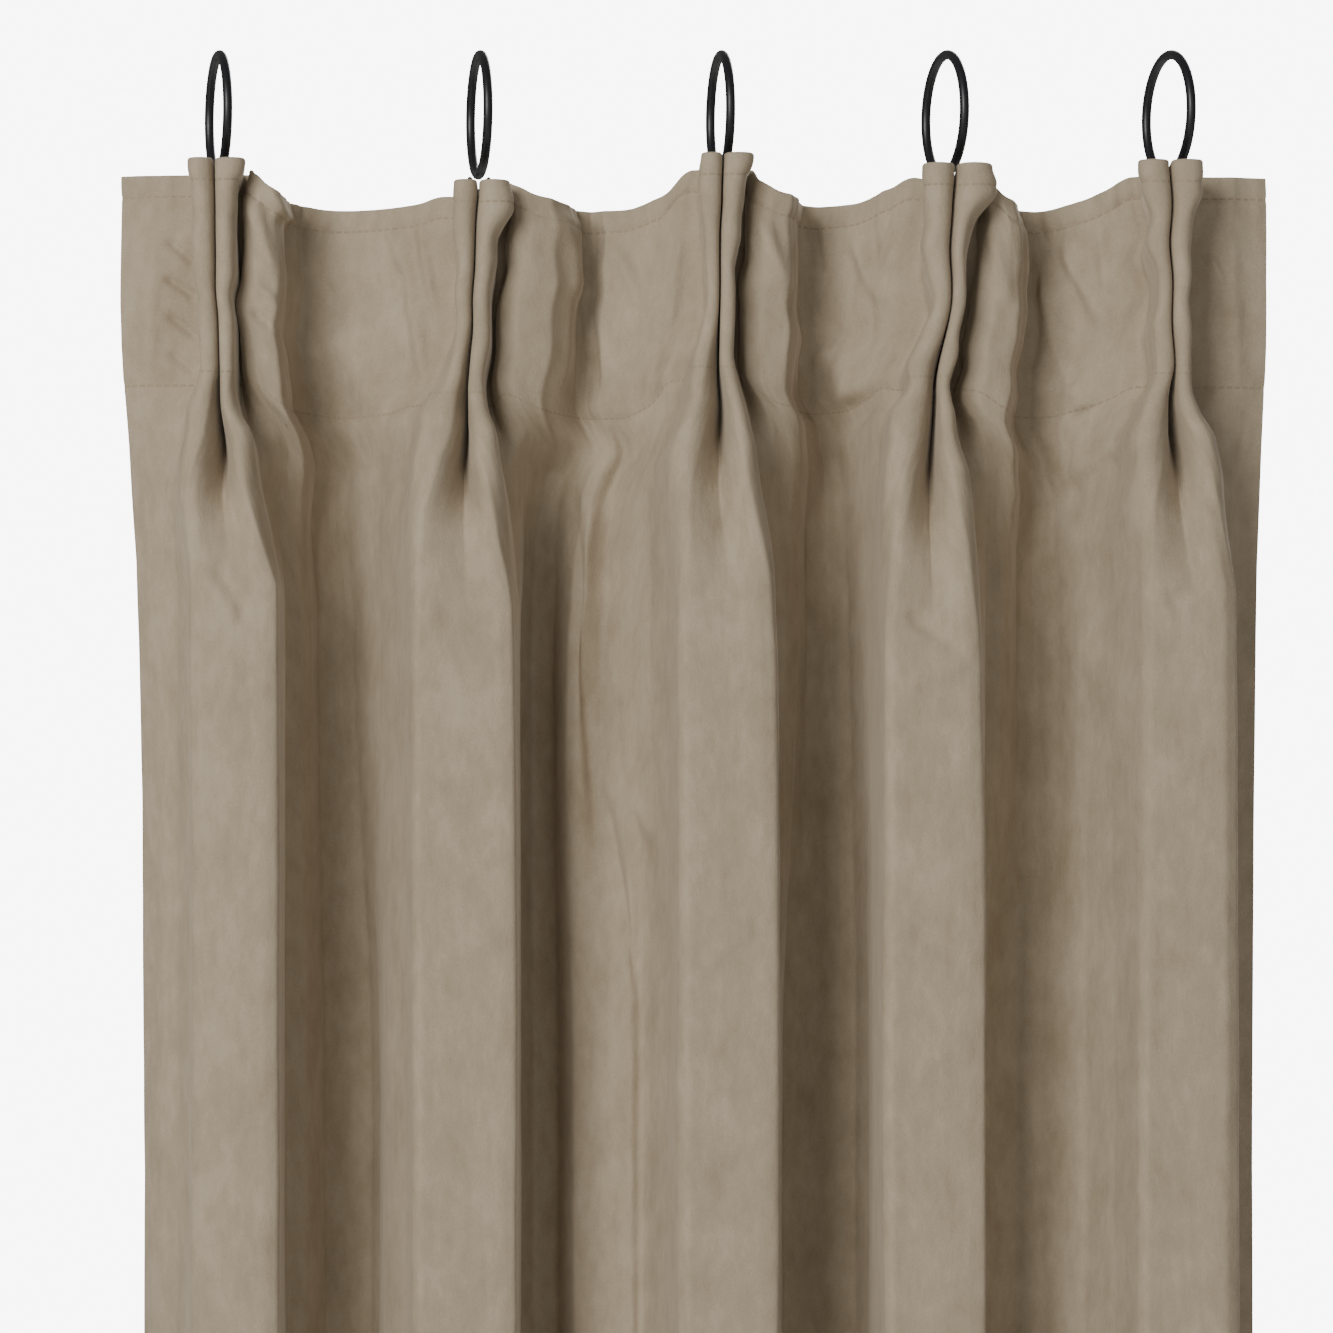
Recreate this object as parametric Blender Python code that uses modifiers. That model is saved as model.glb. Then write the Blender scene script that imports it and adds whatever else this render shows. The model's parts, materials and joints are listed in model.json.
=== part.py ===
"""Single-width lined curtain panel with five double pinch pleats, hooked to loose rings for a pole.

Metres. +X runs along the pole, -Y faces the room and +Z is up. The origin is on the pole's axis,
at the middle of the hung panel. The cloth is one piece of face fabric, one of lining and one of
heading tape. Each is cut here into a stiff stretch at every pleat, which travels with its ring,
and a soft stretch in every space, which gathers up as the panel is drawn.
"""

import math

import bpy
import numpy as np

# Widths along the pole
SPACES = (0.126, 0.1165, 0.1085, 0.108)  # from pleat to pleat, left to right, as the panel is dressed
END_FLAP = 0.030  # flat cloth outside the first and the last pleat

# Heights
DROP = 2.134  # heading edge to hem
HEADING = 0.098  # heading edge to the stitches under the tape
HEADING_BELOW_POLE = (0.0435, 0.0515, 0.0430, 0.0440, 0.0440)  # at the back of each pleat
TIP_LIFT = 0.0045  # the front of a pleat stands this much higher than its back
SPACE_DIP = (0.011, 0.010, 0.011, 0.014)  # how far the heading edge sags in each space

# Cloth, measured along it
FINGER_CLOTH = 0.070  # in one finger of a double pleat
SPACE_FULLNESS = 0.857  # between two pleats, for each metre of the widest space

# Layers, front to back
FACE_THICK = 0.0012
TAPE_THICK = 0.0008
TAPE_GAP = 0.0004
TAPE_TOP_MARGIN = 0.009
LINING_THICK = 0.0005
LINING_GAP = 0.0010
LINING_TOP_MARGIN = 0.006  # below the heading's stitches
LINING_HEM_MARGIN = 0.025  # the lining stops this far above the hem
SEAM_GAP = 0.0003  # between neighbouring stretches of one cloth

# Pinched heading, seen from above
PLEAT_BACK_Y = -0.0110  # the face of the cloth at the root of a pleat
FINGER_HALF_TOP = 0.0066
FINGER_HALF_PINCH = 0.0047
SLIT = 0.0016  # between the two fingers
ROOT_FILLET = 0.0030
FLAP_BOW = 0.12  # radians, how far the flaps at the ends of the panel lean back

# Hanging folds, seen from above
FOLD_FRONT_Y = -0.052
FOLD_FLAT_HALF = 0.0165  # half of the flat front of a fold
FOLD_FRONT_RADIUS = 0.0080
FOLD_BACK_RADIUS = 0.0110

# Depths below the heading edge and how far the folds have opened there, from 0 pinched to 1 hanging
FOLD_OPENING = (
    (0.0, 0.0),
    (0.058, 0.0),
    (HEADING, 0.0),
    (HEADING + 0.012, 0.06),
    (HEADING + 0.027, 0.50),
    (HEADING + 0.052, 0.86),
    (HEADING + 0.110, 1.0),
    (DROP, 1.0),
)
PINCH_DEPTH = 0.058  # the fingers narrow down to here

# Rings and hooks
POLE_RADIUS = 0.015
RING_WIRE = 0.0046
RING_BORE = 0.0531
RING_TURN = (15.0, 11.0, 9.0, 15.0, 15.0)  # degrees, front edge towards +X, as the rings hang
EYE_WIRE = 0.0026
EYE_OUTSIDE = 0.0130
EYE_OVERLAP = 0.0036  # the eye's top would stand this far above the ring's underside
EYE_GAP_HALF = math.radians(47)  # half of the arc that the ring takes out of the eye
HOOK_WIRE = 0.0018
HOOK_CLEARANCE = 0.0006
HOOK_SHANK = 0.040
HOOK_TIP = 0.006
HOOK_PIN = 0.028
HOOK_PIN_APART = 0.0050  # shank to pin
TACK_SIZE = (0.0130, 0.0012, 0.0028)
TACK_ABOVE_STITCHES = 0.004

RING_SEGMENTS = 28
WIRE_SIDES = 8
PLAN_STEPS = 520  # along half a pleat and half a space
ARC_STEPS = 6  # points on a quarter turn of the hook
CLOTH_COLOUR = (0.40, 0.33, 0.25)
LINING_COLOUR = (0.78, 0.74, 0.66)
TAPE_COLOUR = (0.70, 0.66, 0.58)
BLACK_COLOUR = (0.012, 0.012, 0.014)
STEEL_COLOUR = (0.60, 0.60, 0.60)

PLEATS = len(SPACES) + 1
SPACE_CLOTH = SPACE_FULLNESS * max(SPACES)
FINGER_HALF_CLOTH = SLIT / 2 * math.pi / 2 + FINGER_CLOTH
PLEAT_HALF_CLOTH = FINGER_HALF_CLOTH + ROOT_FILLET * math.pi / 2
HALF_CLOTH = PLEAT_HALF_CLOTH + SPACE_CLOTH / 2
SPAN = sum(SPACES)
RING_OUTSIDE = RING_BORE + 2 * RING_WIRE
RING_Z = POLE_RADIUS - RING_BORE / 2  # the ring hangs on top of the pole
EYE_Z = RING_Z - RING_OUTSIDE / 2 + EYE_OVERLAP - EYE_OUTSIDE / 2
HEM_Z = -min(HEADING_BELOW_POLE) - DROP


def material(name, colour, roughness, metallic=0.0):
    """One Principled material, made once and shared by every piece of that finish."""
    made = bpy.data.materials.get(name) or bpy.data.materials.new(name)
    made.use_nodes = True
    shader = made.node_tree.nodes["Principled BSDF"]
    shader.inputs["Base Color"].default_value = (*colour, 1.0)
    shader.inputs["Roughness"].default_value = roughness
    shader.inputs["Metallic"].default_value = metallic
    return made


def pleat_x(index):
    """The middle of a pleat, counted from 0 at the left."""
    return sum(SPACES[:index]) - SPAN / 2


def headings(pieces, lengths):
    """Direction at the given lengths along a chain of (length, turn) pieces that starts along +X.

    A piece is straight where its turn is 0 and an arc otherwise; a left turn is positive.
    """
    ends = np.cumsum([0.0] + [size for size, _ in pieces])
    turned = np.cumsum([0.0] + [turn for _, turn in pieces])
    return np.interp(lengths, ends, turned)


def space_bow(width, cloth):
    """The turn that makes half a space's cloth reach across half its width, found by halving."""
    low, high = 0.0, math.pi / 2
    for _ in range(40):
        bow = (low + high) / 2
        reach = cloth * math.sin(bow) / bow
        low, high = (bow, high) if reach > width else (low, bow)
    return bow


def pinched(half_space, finger_half, at_end):
    """The heading from the middle of a pleat outwards: slit, finger, fillet and half a space."""
    straight = (FINGER_CLOTH - math.pi * finger_half) / 2
    fillet_x = SLIT / 2 + 2 * finger_half + ROOT_FILLET
    bow = FLAP_BOW if at_end else space_bow(half_space - fillet_x, SPACE_CLOTH / 2)
    return (
        (SLIT / 2 * math.pi / 2, -math.pi / 2),
        (straight, 0.0),
        (math.pi * finger_half, math.pi),
        (straight, 0.0),
        (ROOT_FILLET * math.pi / 2, bow - math.pi / 2),
        (SPACE_CLOTH / 2, -bow),
    )


def hanging(half_space):
    """A hanging fold from its middle outwards: flat front, side, and half of the valley behind."""
    floor = half_space - FOLD_FLAT_HALF - FOLD_FRONT_RADIUS - FOLD_BACK_RADIUS
    corners = math.pi / 2 * (FOLD_FRONT_RADIUS + FOLD_BACK_RADIUS)
    side = HALF_CLOTH - FOLD_FLAT_HALF - corners - floor
    return (
        (FOLD_FLAT_HALF, 0.0),
        (FOLD_FRONT_RADIUS * math.pi / 2, math.pi / 2),
        (side, 0.0),
        (FOLD_BACK_RADIUS * math.pi / 2, -math.pi / 2),
        (floor, 0.0),
    )


def finger_half_at(depth):
    """Half the width of a finger, which narrows from the heading edge to the pinch."""
    share = min(depth / PINCH_DEPTH, 1.0)
    return FINGER_HALF_TOP + share * (FINGER_HALF_PINCH - FINGER_HALF_TOP)


def outline(index, side, lengths, depth, opening):
    """Plan points of the cloth at a depth, from pleat number index outwards to its left or right.

    The direction of the cloth is mixed between the pinched and the hanging line, and summed.
    """
    space = index if side > 0 else index - 1
    at_end = space not in range(len(SPACES))
    half_space = SPACES[min(max(space, 0), len(SPACES) - 1)] / 2
    fine = np.linspace(0.0, HALF_CLOTH, PLAN_STEPS + 1)
    middles = (fine[1:] + fine[:-1]) / 2
    tight = headings(pinched(half_space, finger_half_at(depth), at_end), middles)
    loose = headings(hanging(half_space), middles)
    mixed = tight + opening * (loose - tight)
    step = fine[1]
    reach = np.mean(np.cos(tight)) + opening * (np.mean(np.cos(loose)) - np.mean(np.cos(tight)))
    across = np.cumsum(np.cos(mixed)) * step * reach / np.mean(np.cos(mixed))
    back = np.cumsum(np.sin(mixed)) * step + PLEAT_BACK_Y + opening * (FOLD_FRONT_Y - PLEAT_BACK_Y)
    start = back[0] - step * math.sin(mixed[0])
    x = np.interp(lengths, fine, np.concatenate([[0.0], across]))
    y = np.interp(lengths, fine, np.concatenate([[start], back]))
    return np.column_stack([pleat_x(index) + side * x, y])


def heading_edge(index, side, lengths):
    """Height of the heading edge at each of the lengths outwards from a pleat."""
    own = HEADING_BELOW_POLE[index]
    plan = outline(index, side, lengths, 0.0, 0.0)
    forward = np.clip((PLEAT_BACK_Y - plan[:, 1]) / (FINGER_CLOTH / 2), 0.0, 1.0)
    edge = -own + TIP_LIFT * forward
    neighbour = index if side > 0 else index - 1
    if 0 <= neighbour < len(SPACES):
        other = HEADING_BELOW_POLE[index + side]
        share = np.clip((np.array(lengths) - PLEAT_HALF_CLOTH) / (SPACE_CLOTH / 2), 0.0, 1.0)
        ease = share * share * (3 - 2 * share)
        edge -= ease * (SPACE_DIP[neighbour] + (other - own) / 2)
    return edge


def finger_stations():
    """Lengths outwards over half a pleat, close together round the tip of the finger."""
    straight = (FINGER_CLOTH - math.pi * FINGER_HALF_PINCH) / 2
    root = SLIT / 2 * math.pi / 2
    tip = np.linspace(root + straight, root + straight + math.pi * FINGER_HALF_PINCH, 6)
    fillet = PLEAT_HALF_CLOTH - FINGER_HALF_CLOTH
    outer = (FINGER_HALF_CLOTH - straight / 2, FINGER_HALF_CLOTH, FINGER_HALF_CLOTH + fillet / 2)
    return np.array([0.0, root / 2, root, root + straight / 2, *tip, *outer])


def space_stations(cloth, steps):
    """Lengths outwards over a stretch of a space, from the outside of the pleat."""
    return np.linspace(PLEAT_HALF_CLOTH, PLEAT_HALF_CLOTH + cloth, steps + 1)


def plan_rows(stretches, depths):
    """Points (row, column, xyz) over (pleat, side, lengths) stretches, joined end to end."""
    rows = []
    for depth, opening in depths:
        row = []
        for index, side, lengths in stretches:
            plan = outline(index, side, lengths, depth, opening)
            edge = heading_edge(index, side, lengths)
            height = edge + (HEM_Z - edge) * depth / DROP
            row.append(np.column_stack([plan, height]))
        rows.append(np.concatenate(row))
    return np.array(rows)


def set_back(rows, offset):
    """Moves every point to the back of the cloth, square to its plan line and evenly at its bends."""
    ahead = np.diff(rows[:, :, :2], axis=1)
    ahead /= np.linalg.norm(ahead, axis=2, keepdims=True)
    left = np.stack([-ahead[:, :, 1], ahead[:, :, 0]], axis=2)
    first, last = left[:, :1], left[:, -1:]
    middle = left[:, :-1] + left[:, 1:]
    middle /= np.linalg.norm(middle, axis=2, keepdims=True)
    middle /= np.sum(middle * left[:, :-1], axis=2, keepdims=True)
    rows = rows.copy()
    rows[:, :, :2] += offset * np.concatenate([first, middle, last], axis=1)
    return rows


def slab_faces(down, across):
    """Faces of a closed slab: its front points come first, row by row, and its back points after."""
    back = down * across
    faces = []
    for i in range(down - 1):
        for j in range(across - 1):
            a = i * across + j
            b, c, d = a + 1, a + across, a + across + 1
            faces += [(a, c, d), (a, d, b)]
            faces += [(back + a, back + d, back + c), (back + a, back + b, back + d)]
    rim = list(range(across))
    rim += [i * across + across - 1 for i in range(1, down)]
    rim += [(down - 1) * across + j for j in range(across - 2, -1, -1)]
    rim += [i * across for i in range(down - 2, 0, -1)]
    faces += [(p, q, back + q, back + p) for p, q in zip(rim, rim[1:] + rim[:1])]
    return faces


def cloth(name, front, back, finish, collection):
    """A stretch of cloth lofted down the folds between its front and its back points."""
    mesh = bpy.data.meshes.new(name)
    points = np.concatenate([front.reshape(-1, 3), back.reshape(-1, 3)])
    mesh.from_pydata(points.tolist(), [], slab_faces(*front.shape[:2]))
    made = bpy.data.objects.new(name, mesh)
    collection.objects.link(made)
    made.data.materials.append(finish)
    return made


def pleat_stretch(index):
    """The stiff stretch at a pleat, which takes in the flap at either end of the panel."""
    halves = []
    for side in (-1, 1):
        lengths = finger_stations()
        if index + side in range(PLEATS):
            lengths = np.append(lengths, PLEAT_HALF_CLOTH - SEAM_GAP / 2)
        else:
            lengths = np.concatenate([lengths, space_stations(END_FLAP, 4)])
        halves.append(lengths)
    return [(index, -1, halves[0][:0:-1]), (index, 1, halves[1])]


def space_stretch(index):
    """The soft stretch between pleat number index and the next."""
    lengths = space_stations(SPACE_CLOTH / 2, 5)
    lengths[0] += SEAM_GAP / 2
    return [(index, 1, lengths), (index + 1, -1, lengths[-2::-1])]


def panel_stretches():
    """Names and plan pieces of every stretch, from the left of the panel to its right."""
    stretches = []
    for index in range(PLEATS):
        stretches.append((f"pleat_{index + 1}", pleat_stretch(index)))
        if index < len(SPACES):
            stretches.append((f"space_{index + 1}", space_stretch(index)))
    return stretches


def layer_depths(top, bottom):
    """The rows of FOLD_OPENING between two depths, with a row at each of the two."""
    depths = [row[0] for row in FOLD_OPENING]
    openings = [row[1] for row in FOLD_OPENING]
    inside = [d for d in depths if top + 1e-6 < d < bottom - 1e-6]
    return [(d, float(np.interp(d, depths, openings))) for d in (top, *inside, bottom)]


def cloth_layer(layer, offset, thickness, top, bottom, finish, collection):
    """One cloth across the whole panel, cut into its stretches after it is set back."""
    stretches = panel_stretches()
    pieces = [piece for _, group in stretches for piece in group]
    rows = plan_rows(pieces, layer_depths(top, bottom))
    front = set_back(rows, offset)
    back = set_back(rows, offset + thickness)
    start = 0
    for name, group in stretches:
        end = start + sum(len(lengths) for _, _, lengths in group)
        cloth(f"{layer}_{name}", front[:, start:end], back[:, start:end], finish, collection)
        start = end


def cloth_layers(collection):
    """Face fabric, heading tape behind its top, and lining behind the rest."""
    velvet = material("velvet", CLOTH_COLOUR, 0.85)
    cloth_layer("face", 0.0, FACE_THICK, 0.0, DROP, velvet, collection)
    tape = material("heading_tape", TAPE_COLOUR, 0.8)
    offset = FACE_THICK + TAPE_GAP
    cloth_layer("tape", offset, TAPE_THICK, TAPE_TOP_MARGIN, HEADING, tape, collection)
    lining = material("lining", LINING_COLOUR, 0.8)
    offset = FACE_THICK + LINING_GAP
    top, bottom = HEADING + LINING_TOP_MARGIN, DROP - LINING_HEM_MARGIN
    cloth_layer("lining", offset, LINING_THICK, top, bottom, lining, collection)


def wire(name, points, diameter, place, turn, finish, collection):
    """A round wire through the points, with closed ends, turned about +Z and put in its place."""
    curve = bpy.data.curves.new(name, "CURVE")
    curve.dimensions = "3D"
    curve.bevel_depth = diameter / 2
    curve.bevel_resolution = 1
    curve.use_fill_caps = True
    spline = curve.splines.new("POLY")
    spline.points.add(len(points) - 1)
    for target, point in zip(spline.points, points):
        target.co = (*point, 1.0)
    made = bpy.data.objects.new(name, curve)
    made.location = place
    made.rotation_euler = (0.0, 0.0, turn)
    curve.materials.append(finish)
    collection.objects.link(made)
    return made


def ring(index, collection):
    """The round ring that runs on the pole; its origin is on the upright axis that it turns about."""
    bpy.ops.mesh.primitive_torus_add(
        major_radius=(RING_BORE + RING_WIRE) / 2,
        minor_radius=RING_WIRE / 2,
        major_segments=RING_SEGMENTS,
        minor_segments=WIRE_SIDES,
        location=(pleat_x(index), 0.0, RING_Z),
        rotation=(0.0, math.pi / 2, math.radians(RING_TURN[index])),
    )
    made = bpy.context.object
    made.name = f"ring_{index + 1}"
    for other in made.users_collection:
        other.objects.unlink(made)
    collection.objects.link(made)
    made.data.materials.append(material("black_paint", BLACK_COLOUR, 0.45, 0.6))
    made.data.shade_smooth()
    return made


def ring_eye(index, collection):
    """The small loop under a ring, open at its top where the ring's wire is brazed into it."""
    radius = (EYE_OUTSIDE - EYE_WIRE) / 2
    points = []
    for angle in np.linspace(EYE_GAP_HALF, 2 * math.pi - EYE_GAP_HALF, 17):
        points.append((radius * math.sin(angle), 0.0, radius * math.cos(angle)))
    place = (pleat_x(index), 0.0, EYE_Z)
    finish = material("black_paint", BLACK_COLOUR, 0.45, 0.6)
    turn = math.radians(RING_TURN[index])
    return wire(f"ring_eye_{index + 1}", points, EYE_WIRE, place, turn, finish, collection)


def arc(centre, radius, start, end, steps, axes):
    """Points round an arc in the plane of two axes, given as unit vectors."""
    first, second = (np.array(axis, float) for axis in axes)
    angles = np.linspace(start, end, steps + 1)
    return [np.array(centre) + radius * (math.cos(a) * first + math.sin(a) * second) for a in angles]


def hook(index, collection):
    """Pin-on hook: over the eye, down the back of the tape, and up again as a pin in its pocket."""
    back_of_tape = PLEAT_BACK_Y + FACE_THICK + TAPE_GAP + TAPE_THICK
    shank_y = back_of_tape + HOOK_CLEARANCE + HOOK_WIRE / 2
    radius = -shank_y
    eye_floor = EYE_Z - EYE_OUTSIDE / 2 + EYE_WIRE
    top = eye_floor + HOOK_CLEARANCE + HOOK_WIRE / 2
    centre = (0.0, 0.0, top - radius)
    bend = arc(centre, radius, 0.0, math.pi, 2 * ARC_STEPS, ((0, 1, 0), (0, 0, 1)))
    foot_z = centre[2] - HOOK_SHANK
    turn = HOOK_PIN_APART / 2
    foot = arc((turn, shank_y, foot_z), turn, math.pi, 2 * math.pi, ARC_STEPS, ((1, 0, 0), (0, 0, 1)))
    points = [(0.0, radius, centre[2] - HOOK_TIP), *bend, *foot]
    points.append((HOOK_PIN_APART, shank_y, foot_z + HOOK_PIN))
    finish = material("bright_steel", STEEL_COLOUR, 0.3, 1.0)
    place = (pleat_x(index), 0.0, 0.0)
    return wire(f"hook_{index + 1}", points, HOOK_WIRE, place, 0.0, finish, collection)


def tack(index, collection):
    """The bar of thread behind the foot of a pleat, which holds its two fingers pinched."""
    back_of_tape = PLEAT_BACK_Y + FACE_THICK + TAPE_GAP + TAPE_THICK
    width, thick, height = TACK_SIZE
    edge = -HEADING_BELOW_POLE[index]
    depth = HEADING - TACK_ABOVE_STITCHES
    level = edge + (HEM_Z - edge) * depth / DROP
    bpy.ops.mesh.primitive_cube_add(
        size=1.0, location=(pleat_x(index), back_of_tape + HOOK_CLEARANCE + thick / 2, level)
    )
    made = bpy.context.object
    made.name = f"tack_{index + 1}"
    made.scale = (width, thick, height)
    bpy.ops.object.transform_apply(location=False, rotation=False, scale=True)
    bevel = made.modifiers.new("rounded", "BEVEL")
    bevel.width = thick / 4
    bevel.segments = 2
    for other in made.users_collection:
        other.objects.unlink(made)
    collection.objects.link(made)
    made.data.materials.append(material("thread", CLOTH_COLOUR, 0.7))
    return made


def main():
    for old in list(bpy.data.objects):
        bpy.data.objects.remove(old)
    panel = bpy.data.collections.new("curtain_panel")
    bpy.context.scene.collection.children.link(panel)
    cloth_layers(panel)
    for index in range(PLEATS):
        ring(index, panel)
        ring_eye(index, panel)
        hook(index, panel)
        tack(index, panel)


main()
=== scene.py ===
"""Looks of a velvet curtain panel with double pinch pleats, hooked to black rings, in metres."""

import json
import math

import bpy
import numpy as np
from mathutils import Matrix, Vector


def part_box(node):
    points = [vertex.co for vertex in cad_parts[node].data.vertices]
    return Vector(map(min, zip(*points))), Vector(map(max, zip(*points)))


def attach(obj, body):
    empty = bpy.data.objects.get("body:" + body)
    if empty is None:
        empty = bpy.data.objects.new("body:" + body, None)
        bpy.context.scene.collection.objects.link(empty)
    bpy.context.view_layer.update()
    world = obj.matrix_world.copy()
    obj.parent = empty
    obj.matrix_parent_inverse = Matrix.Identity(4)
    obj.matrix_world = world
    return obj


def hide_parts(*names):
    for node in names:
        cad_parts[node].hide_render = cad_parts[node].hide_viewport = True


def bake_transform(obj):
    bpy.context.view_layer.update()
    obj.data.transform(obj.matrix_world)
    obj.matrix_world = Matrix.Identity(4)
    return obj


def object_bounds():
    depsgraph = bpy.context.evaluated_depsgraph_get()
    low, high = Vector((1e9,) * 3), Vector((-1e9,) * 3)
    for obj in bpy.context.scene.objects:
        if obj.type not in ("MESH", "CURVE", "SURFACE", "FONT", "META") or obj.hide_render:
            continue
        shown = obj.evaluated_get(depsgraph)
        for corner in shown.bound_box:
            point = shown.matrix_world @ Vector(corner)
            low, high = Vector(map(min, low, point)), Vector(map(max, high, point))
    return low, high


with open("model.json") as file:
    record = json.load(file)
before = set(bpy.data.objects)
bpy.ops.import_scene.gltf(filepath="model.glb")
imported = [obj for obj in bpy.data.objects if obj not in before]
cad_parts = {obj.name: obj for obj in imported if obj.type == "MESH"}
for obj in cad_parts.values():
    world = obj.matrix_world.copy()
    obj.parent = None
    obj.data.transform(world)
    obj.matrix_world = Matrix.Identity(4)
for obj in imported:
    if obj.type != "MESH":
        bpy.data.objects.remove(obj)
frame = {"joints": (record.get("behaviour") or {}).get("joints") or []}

CAD_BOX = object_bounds()
MM = 0.001

# Sizes of the panel, in millimetres
DROP = 2134.0
HEADING = 100.0  # heading edge to the stitches under the tape
EDGE_STITCH = 9.4  # heading edge to the stitches that hold the turned edge
PLEAT_BACK = -11.0  # y of the cloth at the root of a pleat
FOLD_FRONT = -52.0  # y of the front of a hanging fold
HEM_LEVEL = -2177.0
FLOOR_BELOW = 20.0  # the floor under the lowest point of the hem
CLOTH = 2.4  # two layers of velvet at a turned edge
TAPE_BEHIND, LINING_BEHIND = 2.7, 3.6  # the face's surface to the tape and to the lining
TAPE_TOP, TAPE_FOOT = 9.0, 98.0  # depths below the heading edge
LINING_TOP, LINING_SHORT = 104.0, 30.0  # where the lining starts, and how far it ends above the hem
SIDE_GAP = 6.0  # from the panel's side edges to the tape and the lining
STITCH_PITCH, STITCH_SHARE, STITCH_HALF = 3.2, 0.72, 0.55  # start to start, how much shows, half width
COLUMNS = 220  # of mesh across one pitch
FLAP_COLUMNS = 96  # of mesh across half a pleat and the flap beside it

# The middle of each pleat at depths below the heading edge, which is where the cloth is cut
LINE_DEPTHS = (0, 60, 105, 150, 204, 394, 2134)
LINES = (
    (-227.0, -226.0, -225.0, -223.0, -217.0, -215.6, -214.0),
    (-103.1, -104.2, -108.3, -108.8, -107.0, -106.4, -107.0),
    (13.3, 13.1, 12.2, 12.6, 16.0, 16.7, 16.0),
    (123.1, 121.7, 114.8, 111.4, 112.3, 114.6, 116.0),
    (226.0, 226.0, 227.0, 230.0, 234.0, 234.0, 233.0),
)
# Height of the front of the heading edge at each pleat
TIPS = (-38.4, -48.8, -36.0, -40.8, -39.3)
TIP_LIFT = 4.5
# Half widths of the fingers at the edge and at the pinch, left and right of each slit
FINGER_TOP = ((6.5, 6.7), (5.5, 8.5), (5.2, 6.8), (8.3, 10.3), (6.6, 6.6))
FINGER_PINCH = ((4.2, 4.0), (3.2, 4.0), (2.9, 3.3), (4.7, 3.3), (4.0, 4.0))
# Depth where the fold starts to widen, left and right of each slit, and how slowly
OPENING = (((96, 1.0), (96, 1.0)), ((62, 1.5), (97, 1.0)), ((73, 1.4), (94, 1.4)),
           ((73, 1.2), (106, 1.2)), ((95, 1.0), (98, 1.0)))
# Depth where the slit of each fold starts to close, and how slowly
CLOSING = ((116, 1.0), (112, 0.9), (98, 1.2), (118, 1.2), (114, 1.0))
SLIT_HALF = 0.35
WOBBLE = 0.9  # how far a slit strays to its sides
KNUCKLES = 0.16  # how much wider or narrower a finger grows on its way down, as a share
FINGER_ROOT_HALF = 4.6
FINGER_FRONT = -46.0  # y of the tips of the fingers
FINGER_CLOTH = 92.0  # cloth from a slit to just past the root of its finger, where the edge steps up
FOLD_REACH = 74.0  # cloth from a slit to the back of the fold beside it
FOLD_FADE = 14.0  # cloth over which both of these ease out
SPACE_CLOTH = 255.0  # cloth from slit to slit, about
LOBE_ROOT = -24.0  # y of the root of a slit where its fold has just widened
# Seeds of the noise that a slit strays by, and of the knuckles on the fingers right and left of it
SLIT_SEED, RIGHT_SEED, LEFT_SEED = 31, 34, 33
RING_TURNED = -40.0  # degrees: how a ring stands at its hinge's lower limit
# Wires, in metres
RING_WIRE = 0.0046
EYE_WIRE = 0.0026
EYE_OUTSIDE = 0.0130
EYE_GAP_HALF = math.radians(47)
HOOK_WIRE = 0.0018
HOOK_PIN_APART = 0.0050
THREAD = 0.0004
THREAD_TURNS = 24
HOOK_TAIL = 0.0060  # end of the hook below the middle of its crook
HOOK_PIN = 0.0280  # from the foot of the hook to the tip of its pin
HOOK_POINT = 0.0015  # length of the pin's point
# The camera, in metres: how far off it stands, and how wide its view is at the rings
CAMERA_AWAY, VIEW_WIDTH, SENSOR = 2.0, 0.644, 36.0


def smooth(t):
    """Eases from 0 to 1: three t squared less two t cubed."""
    t = np.clip(t, 0.0, 1.0)
    return t * t * (3 - 2 * t)


def hump(x, middle, width):
    """A bell of height 1: e to the minus square of the distance over the width."""
    return np.exp(-(((x - middle) / width) ** 2))


def eased(x, keys, values):
    """Values at their keys, joined by smooth steps."""
    x = np.asarray(x, float)
    keys, values = np.array(keys, float), np.array(values, float)
    i = np.clip(np.searchsorted(keys, x, side="right") - 1, 0, len(keys) - 2)
    t = smooth((x - keys[i]) / (keys[i + 1] - keys[i]))
    return values[i] + (values[i + 1] - values[i]) * t


def ripple(u, d, seed, cell_u, cell_d):
    """Seeded noise from -1 to 1 on a lattice of the two cell sizes, eased between its points."""
    lattice = np.random.RandomState(seed).uniform(-1, 1, (64, 64))
    a, b = u / cell_u, d / cell_d
    i, j = np.floor(a).astype(int), np.floor(b).astype(int)
    s, t = smooth(a - i), smooth(b - j)
    at = lambda p, q: lattice[p % 64, q % 64]
    low = at(i, j) * (1 - s) + at(i + 1, j) * s
    high = at(i, j + 1) * (1 - s) + at(i + 1, j + 1) * s
    return low * (1 - t) + high * t


# ---- Plan of the cloth -------------------------------------------------------------------------

def directions(path, blur, count):
    """Direction of count equal steps along a path of straight lines, and the path's length.

    The directions are averaged with a bell of that blur along the path, which rounds its corners.
    """
    path = np.array(path, float)
    run = np.concatenate([[0.0], np.cumsum(np.hypot(*np.diff(path, axis=0).T))])
    fine = np.linspace(0.0, run[-1], 4 * count + 1)
    x, y = np.interp(fine, run, path[:, 0]), np.interp(fine, run, path[:, 1])
    angle = np.unwrap(np.arctan2(np.diff(y), np.diff(x)))
    step = run[-1] / (4 * count)
    half = int(3 * blur / step) + 1
    bell = hump(np.arange(-half, half + 1) * step, 0.0, blur)
    angle = np.convolve(np.pad(angle, half, mode="edge"), bell / bell.sum(), "valid")
    return angle.reshape(count, 4).mean(axis=1), run[-1]


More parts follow.
